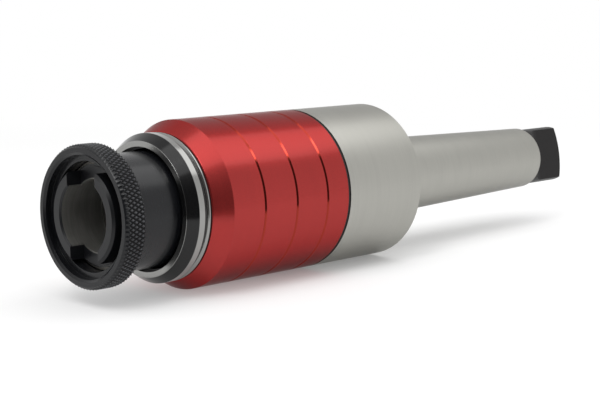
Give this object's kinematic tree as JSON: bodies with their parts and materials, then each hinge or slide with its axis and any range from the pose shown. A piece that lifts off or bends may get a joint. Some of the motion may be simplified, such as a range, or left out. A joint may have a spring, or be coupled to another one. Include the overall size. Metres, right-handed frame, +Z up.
{
  "type": "tapping chuck",
  "caption": "Quick-change tapping chuck on a Morse taper 3 tang shank, with a sprung floating spindle that gives way in push and pull and a collar that frees the tap adapter.",
  "frame": {"origin": "on the spindle axis at the gauge plane of the Morse taper, 5 mm behind the body's rear face", "axes": "+X along the spindle axis from the gauge plane towards the tang, nose towards -X; +Z up with the chuck lying as in the picture; +Y away from the camera side"},
  "size_m": [0.2055, 0.046, 0.046],
  "materials": {
    "ground_steel": "ground and polished alloy steel, tang left dark from hardening",
    "polished_steel": "fine turned and polished steel",
    "red_anodised": "turned aluminium, red anodised",
    "black_oxide": "black oxide on turned and knurled steel",
    "bearing_steel": "polished bearing steel",
    "spring_steel": "oil hardened spring wire",
    "black_bolt": "black oxide on a hardened screw",
    "washer_steel": "plain turned steel",
    "black_rubber": "moulded black rubber"
  },
  "bodies": {
    "housing": {"shank_housing": "ground_steel", "seal_ring": "black_rubber", "cover_sleeve": "red_anodised", "drive_balls": "bearing_steel", "front_seal": "black_rubber", "lock_ring": "polished_steel", "nose_cap": "polished_steel", "guide_bolt": "black_bolt", "rear_washer": "washer_steel", "head_washer": "washer_steel", "stop_tube": "washer_steel", "compression_spring": "spring_steel", "tension_spring": "spring_steel"},
    "float": {"float_spindle": "black_oxide", "web_washer": "washer_steel", "collar_washer": "washer_steel", "snap_ring": "black_bolt", "collar_spring": "spring_steel"},
    "collar": {"release_collar": "black_oxide"},
    "lock_1": {"lock_ball_1": "bearing_steel"},
    "lock_2": {"lock_ball_2": "bearing_steel"},
    "lock_3": {"lock_ball_3": "bearing_steel"}
  },
  "joints": [
    {"name": "float_slide", "type": "slide", "parent": "housing", "child": "float", "axis": [-1, 0, 0], "range_m": [-0.008, 0.008], "stiffness_N_per_m": 9000, "deforming": ["compression_spring", "tension_spring"]},
    {"name": "collar_slide", "type": "slide", "parent": "float", "child": "collar", "axis": [1, 0, 0], "range_m": [0, 0.0045], "stiffness_N_per_m": 2500, "springref_m": -0.004, "deforming": ["collar_spring"]},
    {"name": "lock_ball_1_slide", "type": "slide", "parent": "float", "child": "lock_1", "axis": [0, 0.7071, 0.7071], "range_m": [0, 0.00075]},
    {"name": "lock_ball_2_slide", "type": "slide", "parent": "float", "child": "lock_2", "axis": [0, -0.9659, 0.2588], "range_m": [0, 0.00075]},
    {"name": "lock_ball_3_slide", "type": "slide", "parent": "float", "child": "lock_3", "axis": [0, 0.2588, -0.9659], "range_m": [0, 0.00075]}
  ],
  "couplings": [
    {"joint": "lock_ball_1_slide", "follows": "collar_slide", "ratio": 0.16667},
    {"joint": "lock_ball_2_slide", "follows": "collar_slide", "ratio": 0.16667},
    {"joint": "lock_ball_3_slide", "follows": "collar_slide", "ratio": 0.16667}
  ]
}
